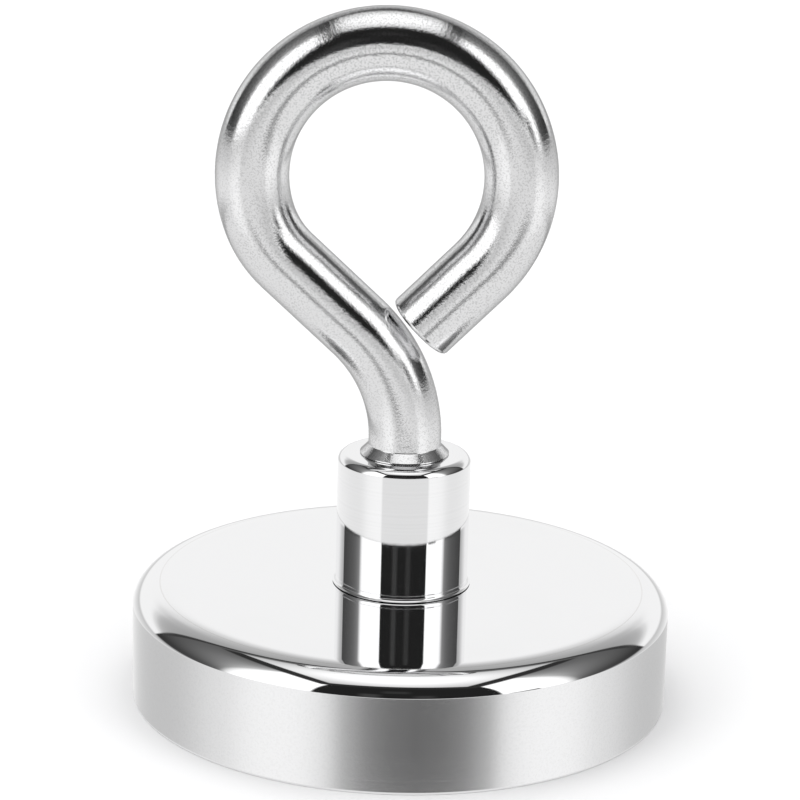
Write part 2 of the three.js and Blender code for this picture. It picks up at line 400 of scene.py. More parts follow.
def build_effects():
    """The effects that the finishes share, each built once as a group of its own."""
    g, i, o = group_tree("Round Axis", [("Position", VECTOR, None)],
                         [("Radius", FLOAT), ("Height", FLOAT)])
    xyz = g.add("ShaderNodeSeparateXYZ", {0: i["Position"]}).outputs
    squares = g.plus(g.math("POWER", xyz["X"], 2.0), g.math("POWER", xyz["Y"], 2.0))
    g.put(o["Radius"], g.math("SQRT", squares))
    g.put(o["Height"], xyz["Z"])

    g, i, o = group_tree("Band", [("Value", FLOAT, 0.0), ("Low", FLOAT, 0.0), ("High", FLOAT, 1.0),
                                  ("Softness", FLOAT, 0.1)], [("Mask", FLOAT)])
    rise = g.ratio(g.minus(i["Value"], i["Low"]), i["Softness"])
    fall = g.ratio(g.minus(i["High"], i["Value"]), i["Softness"])
    g.put(o["Mask"], g.times(g.math("ADD", rise, 0.5, clamp=True),
                            g.math("ADD", fall, 0.5, clamp=True)))

    g, i, o = group_tree("Turned Lines", [("Distance", FLOAT, 0.0), ("Pitch", FLOAT, 0.0001)],
                         [("Height", FLOAT)])
    along = g.ratio(i["Distance"], i["Pitch"])
    fine = g.noise_along(along, 1.0, 2.0, 0.7)
    broad = g.noise_along(along, 0.17, 1.0, 0.5)
    g.put(o["Height"], g.plus(g.times(fine, 0.6), g.times(broad, 0.4)))

    g, i, o = group_tree("Fine Grain", [("Position", VECTOR, None), ("Scale", FLOAT, 4000.0)],
                         [("Grain", FLOAT), ("Speckle", FLOAT), ("Blotch", FLOAT)])
    g.put(o["Grain"], g.noise(i["Position"], i["Scale"], 3.0, 0.65))
    g.put(o["Speckle"], g.remap(g.noise(i["Position"], i["Scale"], 1.0, 0.6), 0.50, 0.62))
    g.put(o["Blotch"], g.noise(i["Position"], g.times(i["Scale"], 0.03), 2.0, 0.5))

    g, i, o = group_tree("Handling", [("Position", VECTOR, None), ("Amount", FLOAT, 0.02)],
                         [("Roughness", FLOAT), ("Film", FLOAT)])
    film = g.remap(g.noise(i["Position"], 55.0, 3.0, 0.6), 0.5, 0.75)
    g.put(o["Film"], film)
    g.put(o["Roughness"], g.times(film, i["Amount"]))


def use(graph, group, **values):
    """Places a shared effect in a material with its own values."""
    node = graph.add("ShaderNodeGroup", node_tree=bpy.data.node_groups[group])
    for key, value in values.items():
        graph.put(node.inputs[key.replace("_", " ")], value)
    return node.outputs


def new_finish(name, **constants):
    """A material with one Principled shader; gives its graph, the shader and Object coordinates."""
    material = bpy.data.materials.new(name)
    material.use_nodes = True
    material.node_tree.nodes.clear()
    graph = Graph(material.node_tree)
    shader = graph.add("ShaderNodeBsdfPrincipled")
    for key, value in constants.items():
        shader.inputs[key.replace("_", " ")].default_value = value
    output = graph.add("ShaderNodeOutputMaterial")
    graph.put(output.inputs["Surface"], shader.outputs[0])
    position = graph.add("ShaderNodeTexCoord").outputs["Object"]
    return material, graph, shader.inputs, position


def tint(colour_value, factor=1.0):
    return (*(min(1.0, c * factor) for c in colour_value), 1.0)


def bump(graph, height, distance, strength):
    inputs = {"Height": height, "Distance": distance, "Strength": strength}
    return graph.add("ShaderNodeBump", inputs).outputs[0]


def cup_finish(settings):
    """Mirror plating on the top and shoulder, satin on the wall, duller inside the cup."""
    material, g, shader, place = new_finish("cup_bright_plating", Metallic=1.0)
    cup, plating = settings.cup, settings.colours.plating
    axis = use(g, "Round Axis", Position=place)
    crisp = shoulder_profile(cup)[0][1]
    wall = g.times(use(g, "Band", Value=axis["Radius"], Low=cup.radius - 0.05 * MM, High=1.0,
                       Softness=0.04 * MM)["Mask"],
                   use(g, "Band", Value=axis["Height"], Low=-1.0, High=crisp - 0.1 * MM,
                       Softness=0.2 * MM)["Mask"])
    inside = use(g, "Band", Value=axis["Radius"], Low=-1.0, High=cup.radius - cup.wall + 0.2 * MM,
                 Softness=0.1 * MM)["Mask"]
    below = use(g, "Band", Value=axis["Height"], Low=-1.0, High=cup.height - 0.1 * MM,
                Softness=0.05 * MM)["Mask"]
    inside = g.times(inside, below)
    grain = use(g, "Fine Grain", Position=place, Scale=3200.0)
    hands = use(g, "Handling", Position=place, Amount=0.012)
    lines = use(g, "Turned Lines", Distance=axis["Height"], Pitch=0.05 * MM)
    polished = g.plus(hands["Roughness"], 0.035)
    satin = g.plus(g.times(grain["Grain"], 0.04), 0.07)
    rough = g.blend(wall, polished, satin)
    rough = g.blend(inside, rough, 0.34)
    g.put(shader["Roughness"], rough)
    bright = g.mix(g.times(hands["Film"], 0.35), tint(plating), tint(plating, 0.965))
    bright = g.mix(g.times(wall, g.times(grain["Speckle"], 0.25)), bright,
                   tint(plating, 0.9))
    g.put(shader["Base Color"], g.mix(inside, bright, tint(settings.colours.nickel)))
    height = g.plus(g.times(grain["Grain"], 0.6),
                    g.times(lines["Height"], 0.4))
    g.put(shader["Normal"], bump(g, g.times(height, wall), 0.004 * MM, 0.6))
    return material


def sleeve_finish(settings):
    """Polished plating over fine turned lines."""
    material, g, shader, place = new_finish("sleeve_turned_plating", Metallic=1.0)
    sleeve, plating = settings.sleeve, settings.colours.plating
    axis = use(g, "Round Axis", Position=place)
    side = use(g, "Band", Value=axis["Radius"], Low=sleeve.radius - 0.1 * MM, High=1.0,
               Softness=0.05 * MM)["Mask"]
    upright = use(g, "Turned Lines", Distance=axis["Height"], Pitch=0.06 * MM)["Height"]
    facing = use(g, "Turned Lines", Distance=axis["Radius"], Pitch=0.06 * MM)["Height"]
    lines = g.blend(side, facing, upright)
    hands = use(g, "Handling", Position=place, Amount=0.02)
    rough = g.plus(g.remap(lines, 0.35, 0.7, 0.025, 0.055), hands["Roughness"])
    g.put(shader["Roughness"], rough)
    g.put(shader["Base Color"], g.mix(g.remap(lines, 0.3, 0.75), tint(plating), tint(plating, 0.96)))
    g.put(shader["Normal"], bump(g, lines, 0.0006 * MM, 0.5))
    return material


def rod_finish(settings):
    """Satin plating on drawn rod: fine speckle and orange peel, brighter where it was handled."""
    material, g, shader, place = new_finish("rod_satin_plating", Metallic=1.0,
                                           Specular_Tint=(0.5, 0.5, 0.5, 1.0))
    rod = settings.colours.rod
    grain = use(g, "Fine Grain", Position=place, Scale=4200.0)
    hands = use(g, "Handling", Position=place, Amount=0.02)
    rough = g.plus(g.remap(grain["Grain"], 0.3, 0.7, 0.05, 0.09), hands["Roughness"])
    g.put(shader["Roughness"], rough)
    shade = g.mix(grain["Speckle"], tint(rod, 1.05), tint(rod, 0.87))
    g.put(shader["Base Color"], g.mix(g.remap(grain["Blotch"], 0.45, 0.9), shade, tint(rod, 1.04)))
    peel = g.plus(grain["Grain"], g.times(g.noise(place, 1300.0, 1.0), 0.5))
    g.put(shader["Normal"], bump(g, peel, 0.018 * MM, 0.8))
    return material


def magnet_finish(settings):
    """Nickel plating over ground sintered magnet, slightly yellow, with faint grinding swirls."""
    material, g, shader, place = new_finish("magnet_nickel_plating", Metallic=1.0)
    nickel = settings.colours.nickel
    axis = use(g, "Round Axis", Position=place)
    swirl = use(g, "Turned Lines", Distance=axis["Radius"], Pitch=0.12 * MM)["Height"]
    grain = use(g, "Fine Grain", Position=place, Scale=2400.0)
    hands = use(g, "Handling", Position=place, Amount=0.08)
    g.put(shader["Roughness"], g.plus(g.remap(swirl, 0.3, 0.7, 0.2, 0.3), hands["Roughness"]))
    shade = g.mix(grain["Blotch"], tint(nickel, 0.93), tint(nickel, 1.06))
    g.put(shader["Base Color"], g.mix(g.times(grain["Speckle"], 0.4), shade,
                                      tint(nickel, 0.8)))
    height = g.plus(g.times(swirl, 0.5), g.times(grain["Grain"], 0.5))
    g.put(shader["Normal"], bump(g, height, 0.01 * MM, 0.5))
    return material


def potting_finish(settings):
    """Black cast resin, glossy where it cured freely, with dust in it."""
    material, g, shader, place = new_finish("potting_black_resin", IOR=1.55)
    black = settings.colours.potting
    grain = use(g, "Fine Grain", Position=place, Scale=1500.0)
    g.put(shader["Roughness"], g.remap(grain["Blotch"], 0.4, 0.65, 0.16, 0.38))
    g.put(shader["Base Color"], g.mix(grain["Speckle"], tint(black), tint(black, 4.0)))
    g.put(shader["Normal"], bump(g, g.noise(place, 260.0, 2.0), 0.06 * MM, 0.4))
    return material


def adhesive_finish(settings):
    """Cream structural glue with small bubbles."""
    material, g, shader, place = new_finish("adhesive_cream", IOR=1.5)
    cream = settings.colours.adhesive
    grain = use(g, "Fine Grain", Position=place, Scale=1300.0)
    g.put(shader["Roughness"], g.remap(grain["Grain"], 0.3, 0.7, 0.4, 0.58))
    g.put(shader["Base Color"], g.mix(grain["Blotch"], tint(cream, 0.85), tint(cream, 1.1)))
    g.put(shader["Normal"], bump(g, grain["Speckle"], -0.03 * MM, 0.5))
    return material


def screw_finish(settings):
    """Zinc-plated steel: turned rings on the head's face, rougher and with painted shade down in the
    socket.
    """
    material, g, shader, place = new_finish("screw_zinc_plating", Metallic=1.0)
    steel = settings.colours.steel
    face_height = BOX["countersunk_screw"][0].z
    axis = use(g, "Round Axis", Position=place)
    rings = use(g, "Turned Lines", Distance=axis["Radius"], Pitch=0.14 * MM)["Height"]
    grain = use(g, "Fine Grain", Position=place, Scale=2600.0)
    # Everything more than 0.3 mm above the head's face: rougher, and darkened with painted shade that
    # shows down in the socket.
    deep_rough_and_shaded = use(g, "Band", Value=axis["Height"], Low=face_height + 0.3 * MM, High=1.0,
               Softness=0.5 * MM)["Mask"]
    g.put(shader["Roughness"], g.plus(g.remap(rings, 0.3, 0.7, 0.26, 0.36),
                                      g.times(deep_rough_and_shaded, 0.08)))
    shade = g.mix(grain["Blotch"], tint(steel, 0.94), tint(steel, 1.05))
    # Painted shade: the colour goes to a darker copy of the steel down in the socket.
    g.put(shader["Base Color"], g.mix(g.times(deep_rough_and_shaded, 0.5), shade, tint(steel, 0.6)))
    height = g.plus(g.times(rings, 0.6), g.times(grain["Grain"], 0.4))
    g.put(shader["Normal"], bump(g, height, 0.012 * MM, 0.5))
    return material


def thread_lock_finish(settings):
    """Cured blue thread-lock: waxy, uneven, a little paler where it is thin."""
    material, g, shader, place = new_finish("thread_lock_blue", IOR=1.5)
    blue = settings.colours.thread_lock
    grain = use(g, "Fine Grain", Position=place, Scale=2200.0)
    g.put(shader["Roughness"], g.remap(grain["Grain"], 0.3, 0.7, 0.3, 0.5))
    g.put(shader["Base Color"], g.mix(grain["Blotch"], tint(blue, 0.8), tint(blue, 1.7)))
    g.put(shader["Normal"], bump(g, g.noise(place, 900.0, 2.0), 0.05 * MM, 0.5))
    return material


# ------------------------------------------------------------------ pieces

EASED_TILT = math.radians(10)          # the shoulder is this steep where its easing ends


def shoulder_profile(cup):
    """The cup's shoulder from the wall in to the flat top: a corner arc, then a wider easing arc."""
    ease_r = cup.easing_start + cup.easing * math.sin(EASED_TILT)
    ease_z = cup.height - cup.easing * (1 - math.cos(EASED_TILT))
    steepest = math.asin((cup.radius - ease_r) / cup.corner + math.sin(EASED_TILT))
    tilt = math.degrees(EASED_TILT)
    corner = arc(ease_r - cup.corner * math.sin(EASED_TILT), ease_z - cup.corner * math.cos(EASED_TILT),
                 cup.corner, 90 - math.degrees(steepest), 90 - tilt, 24)
    easing = arc(cup.easing_start, cup.height - cup.easing, cup.easing, 90 - tilt, 90, 16)
    return corner + easing[1:]


class MAGNET_OT_cup(bpy.types.Operator):
    """Turn the steel cup with its rounded shoulder, screw hole and countersink"""
    bl_idname = "magnet.cup"
    bl_label = "Steel Cup"

    def execute(self, context):
        settings = context.scene.fishing_magnet
        cup = settings.cup
        inner, under = cup.radius - cup.wall, cup.height - cup.web
        sink_land = BOX["countersunk_screw"][0].z + settings.screw.land
        shoulder = shoulder_profile(cup)
        corners = [(inner, 0, 0.12 * MM), (cup.radius, 0, 0.3 * MM)]
        corners += [(*shoulder[0], cup.crease)]
        corners += [(r, z, 0) for r, z in shoulder[1:]]
        corners += [
            (shoulder[-1][0] - 0.1 * MM, cup.height, 0), (cup.hole, cup.height, 0.15 * MM),
            (cup.hole, sink_land + cup.sink - cup.hole, 0), (cup.sink, sink_land, 0),
            (cup.sink, under, 0.1 * MM), (inner, under, 0.4 * MM),
        ]
        piece = turn("plated_cup", eased(corners), 256)
        register_piece(piece, "base", "cup_plating", cup_finish(settings), "steel_cup")
        return {"FINISHED"}


class MAGNET_OT_magnet(bpy.types.Operator):
    """Turn the ring magnet, the glue above it and the resin round it"""
    bl_idname = "magnet.magnet"
    bl_label = "Magnet, Glue and Potting"

    def execute(self, context):
        settings = context.scene.fishing_magnet
        size = settings.magnet
        lowest, highest = BOX["ring_magnet"][0].z, BOX["ring_magnet"][1].z
        edge = size.rounding
        ring = turn("nickel_ring_magnet", eased([
            (size.bore, lowest, edge), (size.radius, lowest, edge),
            (size.radius, highest, edge), (size.bore, highest, edge)]), 256)
        register_piece(ring, "base", "magnet_nickel", magnet_finish(settings), "ring_magnet")

        lowest, highest = BOX["magnet_bond"][0].z, BOX["magnet_bond"][1].z
        inner, outer = size.bore + edge, size.radius - edge
        film = turn("glue_film", eased([
            (inner, lowest, 0.1 * MM), (outer, lowest, 0.1 * MM),
            (outer, highest, 0.1 * MM), (inner, highest, 0.1 * MM)], loop=0.02 * MM), 160)
        register_piece(film, "base", "bond_adhesive", adhesive_finish(settings), "magnet_bond")

        bottom, top = BOX["potting_ring"][0].z, BOX["potting_ring"][1].z
        outer = BOX["potting_ring"][1].x
        inner = size.radius + 0.1 * MM
        middle, half, sag = (inner + outer) / 2, (outer - inner) / 2, size.meniscus
        bow = (half ** 2 + sag ** 2) / (2 * sag)
        sweep = math.degrees(math.asin(half / bow))
        meniscus = arc(middle, bottom + sag - bow, bow, 90 + sweep, 90 - sweep, 12)
        resin = turn("cast_potting", meniscus + [(outer, top), (inner, top)], 192)
        register_piece(resin, "base", "black_potting", potting_finish(settings), "potting_ring")
        return {"FINISHED"}


class MAGNET_OT_screw(bpy.types.Operator):
    """Turn the countersunk screw, wind its thread and broach its hexagon socket"""
    bl_idname = "magnet.screw"
    bl_label = "Countersunk Screw"

    def execute(self, context):
        settings = context.scene.fishing_magnet
        size, thread = settings.screw, settings.thread
        face, tip = BOX["countersunk_screw"][0].z, BOX["countersunk_screw"][1].z
        neck = face + size.land + size.head - thread.crest
        body = turn("zinc_screw", eased([
            (1 * MM, face, 0), (size.head, face, 0.12 * MM),
            (size.head, face + size.land, 0.1 * MM), (thread.core, neck + 0.5 * MM, 0.1 * MM),
            (thread.core - 0.1 * MM, neck + 0.9 * MM, 0), (thread.core - 0.1 * MM, neck + 1.4 * MM, 0),
            (1 * MM, neck + 1.4 * MM, 0)], closed=False), 96, closed=False)
        bar = thread_bar("screw_thread", 0.0, neck + 0.7 * MM, tip)
        blank = turn("screw_blank", [
            (thread.core - 0.25 * MM, neck + 0.6 * MM), (thread.crest + 0.01 * MM, neck + 1.6 * MM),
            (thread.crest + 0.01 * MM, tip - 0.9 * MM), (thread.core - 0.3 * MM, tip)], 96,
            closed=False)
        combine(bar, blank, "INTERSECT")
        combine(body, bar, "UNION")

        clear()
        corner_radius = size.socket / math.sqrt(3)
        bpy.ops.mesh.primitive_cylinder_add(
            vertices=6, radius=corner_radius, depth=2 * size.socket_depth, location=(0, 0, face))
        hexagon = bpy.context.object
        bpy.ops.object.transform_apply(location=True)
        edit(hexagon, "FACE")
        select_where(hexagon, "faces", lambda f: f.normal.z > 0.9)
        bpy.ops.mesh.inset(thickness=0.12 * size.socket)
        bpy.ops.mesh.extrude_region_move(
            TRANSFORM_OT_translate={"value": (0, 0, 0.2 * size.socket)})
        bpy.ops.transform.resize(value=(0.06, 0.06, 1),
                                 center_override=(0, 0, face + size.socket_depth * 1.3))
        clear()
        combine(body, hexagon, "DIFFERENCE")
        lead = turn("socket_lead", [
            (corner_radius + 0.25 * MM, face - 0.1 * MM), (corner_radius - 0.35 * MM, face + 0.3 * MM)],
            96, closed=False)
        combine(body, lead, "DIFFERENCE")
        finish_mesh(body, 20.0)
        register_piece(body, "base", "screw_steel", screw_finish(settings), "countersunk_screw")
        return {"FINISHED"}


class MAGNET_OT_sleeve(bpy.types.Operator):
    """Turn the threaded sleeve with its rounded rim and the fine lines at its foot"""
    bl_idname = "magnet.sleeve"
    bl_label = "Threaded Sleeve"

    def execute(self, context):
        settings = context.scene.fishing_magnet
        size, thread = settings.sleeve, settings.thread
        bottom, top = BOX["coupling_sleeve"][0].z, BOX["coupling_sleeve"][1].z
        bore = thread.core + thread.slack
        start = math.degrees(math.acos(size.corner_run / size.corner))
        rim = arc(size.radius - size.corner_run, top - size.corner, size.corner, start, 90.0, 22)
        lip = 0.03 * MM
        cove = arc(size.radius + size.flare, bottom + lip + size.flare, size.flare, 270.0, 180.0, 10)
        groove_z, groove = bottom + lip + size.flare + 0.3 * MM, 0.12 * MM
        foot = [(bore + 0.35 * MM, bottom, 0.04 * MM), (size.radius + size.flare, bottom, 0)]
        foot += [(r, z, 0) for r, z in cove]
        foot += [
            (size.radius, groove_z, 0.03 * MM), (size.radius - 0.08 * MM, groove_z + groove / 2, 0),
            (size.radius, groove_z + groove, 0.03 * MM),
        ]
        corners = foot + [(*rim[0], 0.25 * MM)] + [(r, z, 0) for r, z in rim[1:]]
        corners += [
            (rim[-1][0] - 0.08 * MM, top, 0), (size.mouth, top, 0.06 * MM),
            (size.mouth, top - size.mouth_depth, 0.05 * MM),
            (bore, top - size.mouth_depth - 1.2 * MM, 0.05 * MM),
            (bore, bottom + 0.35 * MM, 0.04 * MM),
        ]
        piece = turn("turned_sleeve", eased(corners, loop=0.03 * MM), 192)
        tap = thread_bar("tap", thread.slack, bottom - 1 * MM, top - size.mouth_depth + 0.4 * MM)
        combine(piece, tap, "DIFFERENCE")
        finish_mesh(piece)
        register_piece(piece, "base", "sleeve_plating", sleeve_finish(settings), "coupling_sleeve")
        return {"FINISHED"}


class MAGNET_OT_thread_lock(bpy.types.Operator):
    """Make the uneven bead of thread-lock under the eyebolt's shoulder"""
    bl_idname = "magnet.thread_lock"
    bl_label = "Thread-lock Bead"

    def execute(self, context):
        settings = context.scene.fishing_magnet
        low_corner, high_corner = BOX["thread_lock_bead"]
        inner, outer = 4.2 * MM, high_corner.x
        edge = 0.28 * MM
        bead = turn("blue_bead", eased([
            (inner, low_corner.z, edge), (outer, low_corner.z, edge),
            (outer, high_corner.z, edge), (inner, high_corner.z, edge)], steps=5), 96)
        lumps = bpy.data.textures.new("bead_lumps", "CLOUDS")
        lumps.noise_scale = 1.2 * MM
        pick(bead)
        swell = bead.modifiers.new("lumps", "DISPLACE")
        swell.texture, swell.strength, swell.mid_level = lumps, -0.22 * MM, 0.25
        bpy.ops.object.modifier_apply(modifier=swell.name)
        finish_mesh(bead, 40.0)
        register_piece(bead, "lift_ring", "thread_lock", thread_lock_finish(settings),
                       "thread_lock_bead")
        return {"FINISHED"}


END_ROUNDING = ((0.06, 0.22), (0.16, 0.16), (0.22, 0.10))    # millimetres in and out at each step


class MAGNET_OT_eyebolt(bpy.types.Operator):
    """Bend the rod into the open eye, turn its shoulder and wind its thread"""
    bl_idname = "magnet.eyebolt"
    bl_label = "Eyebolt"

    def execute(self, context):
        settings = context.scene.fishing_magnet
        eye, thread = settings.eye, settings.thread
        low_corner, high_corner = BOX["eyebolt"]
        tip = low_corner.z
        seat = BOX["coupling_sleeve"][1].z + 0.03 * MM
        ring = (high_corner.x - low_corner.x) / 2 - eye.rod
        centre = Vector(((high_corner.x + low_corner.x) / 2, 0, high_corner.z - ring - eye.rod))

        leave, tight_from = 1.5 * math.pi - eye.lean, eye.tight_from
        tight_centre = centre + (ring - eye.tight_bend) * self.spoke(tight_from)
        leave_point = tight_centre + eye.tight_bend * self.spoke(leave)
        run = -leave_point.x - eye.stem_bend * (1 - math.sin(eye.lean))
        shank = run / math.cos(eye.lean)
        bend_height = leave_point.z - shank * math.sin(eye.lean) - eye.stem_bend * math.cos(eye.lean)

        relief_bottom, cone = seat - eye.relief_height, eye.shoulder - eye.rod
        foot = eased([
            (eye.relief, relief_bottom - 0.4 * MM, 0), (eye.relief, seat, 0.08 * MM),
            (eye.shoulder, seat, 0.05 * MM), (eye.shoulder, seat + eye.lip, 0.05 * MM),
            (eye.rod, seat + eye.lip + cone, 0.2 * MM), (eye.rod, bend_height, 0)], closed=False,
            loop=0.02 * MM)
        rod = turn("bent_eyebolt", foot, 72, closed=False)
        edit(rod, "FACE")
        select_where(rod, "faces", lambda f: f.normal.z > 0.9
                     and f.calc_center_median().z > bend_height - 0.01 * MM)
        bpy.ops.mesh.spin(steps=30, angle=math.pi / 2 - eye.lean, axis=(0, 1, 0),
                          center=(-eye.stem_bend, 0, bend_height))
        self.carry(shank * Vector((-math.cos(eye.lean), 0, math.sin(eye.lean))), 2)
        finish_angle = -(math.pi / 2 - eye.end_lean)
        bpy.ops.mesh.spin(steps=20, angle=tight_from - leave, axis=(0, 1, 0), center=tight_centre)
        bpy.ops.mesh.spin(steps=132, angle=finish_angle - tight_from, axis=(0, 1, 0), center=centre)
        direction = Vector((-math.cos(eye.end_lean), 0, -math.sin(eye.end_lean)))
        self.carry(eye.end_length * direction, 3)
        for inset, out in END_ROUNDING:
            bpy.ops.mesh.extrude_region_move(
                TRANSFORM_OT_translate={"value": out * MM * direction})
            self.shrink(rod, inset * MM)
        clear()
        finish_mesh(rod)

        bar = thread_bar("bolt_thread", 0.0, tip, relief_bottom + 0.35 * MM)
        blank = turn("bolt_blank", [
            (thread.core - 0.9 * MM, tip), (thread.crest + 0.01 * MM, tip + 0.85 * MM),
            (thread.crest + 0.01 * MM, relief_bottom - 0.4 * MM),
            (thread.core - 0.15 * MM, relief_bottom + 0.35 * MM)], 96, closed=False)
        combine(bar, blank, "INTERSECT")
        combine(rod, bar, "UNION")
        finish_mesh(rod)
        register_piece(rod, "eye", "rod_plating", rod_finish(settings), "eyebolt")
        return {"FINISHED"}

    @staticmethod
    def spoke(angle):
        """Unit vector in the plane of the eye, at an angle from +X towards +Z."""
        return Vector((math.cos(angle), 0, math.sin(angle)))

    @staticmethod
    def carry(way, steps):
        """Extrudes the selected end along a straight way."""
        for _ in range(steps):
            bpy.ops.mesh.extrude_region_move(TRANSFORM_OT_translate={"value": way / steps})

    @staticmethod
    def shrink(rod, inset):
        """Draws the selected end in towards its own centre."""
        mesh = bmesh.from_edit_mesh(rod.data)
        end = next(f for f in mesh.faces if f.select)
        centre = end.calc_center_median()
        radius = (end.verts[0].co - centre).length
        scale = (radius - inset) / radius
        bpy.ops.transform.resize(value=(scale, scale, scale), center_override=centre)


# ------------------------------------------------------------------ stage

def away_from(g, azimuth, centre):
    """Degrees between two azimuths, from 0 to 180."""
    apart = g.math("ABSOLUTE", g.minus(azimuth, centre))
    return g.minus(180.0, g.math("ABSOLUTE", g.minus(apart, 180.0)))


# The studio, by directions from the object. Angles are in degrees, and azimuth 0 is towards the camera.
# A falloff is the azimuth of its middle, then (degrees away from it, brightness). The side walls are lit
# by the softboxes beside the black flag and get darker towards the back.
SIDE_WALLS = (0, ((0, 1.25), (68, 1.25), (80, 0.54), (100, 0.22), (150, 0.12), (180, 0.12)))
TABLE = (3.5, ((0, 0.8), (38, 0.8), (43, 1.0), (60, 0.98), (90, 0.84), (130, 0.9), (180, 1.0)))
TABLE_EDGE = (8, ((0, 0.11), (12, 0.15), (28, 0.38), (48, 0.92), (60, 0.96), (90, 0.78), (130, 0.57),
                  (180, 0.9)))
TABLE_EDGE_BAND = (-19.3, -20.3, -24.6, -26.0)      # elevations where the band fades in and out
BELOW_TABLE = 0.8
BACKDROP = ((0, 0.95), (20, 0.95), (27, 0.74), (34, 0.46), (46, 0.37), (90, 0.34))  # by elevation
BACKDROP_EXTENT = (0.469, 1.131, 0.210)         # it is seen where x, y and z with these weights pass 1
BACKDROP_CORNER = 152.0                         # it is less bright nearer the camera than this azimuth
SIDE_SLOPE, FRONT_SLOPE, BACK_SLOPE = 2.2, 1.7, 1.45    # how steeply the ceiling's edges are seen
SEAM, BACKDROP_FRAME = 0.03, 0.04               # brightness of the dark lines between the lit parts
# Panels are brightness, centre azimuth, half width, lowest, highest, softness.
FLAG = (0.016, 3.5, 39.5, 5.5, 70, 1.2)
STAND = ((0.05, -12, 4, 4, 28, 4), (0.04, 11, 4, 4, 26, 4), (0.035, -1, 6, 33, 42, 4),
         (0.10, 53, 7, 0, 12, 1.5))
SEEN_BACKGROUND = 0.97
SUN_ENERGY, SUN_ANGLE, SUN_TILT = 2.3, 100, (10, -7, 0)

CAMERA_AIM = Vector((-0.72, 0, 38.02)) * MM
CAMERA_DISTANCE = 368.5 * MM
CAMERA_ELEVATION, CAMERA_ROLL = math.radians(16.25), math.radians(1.48)
CAMERA_LENS, CAMERA_SENSOR = 134.6, 36.0


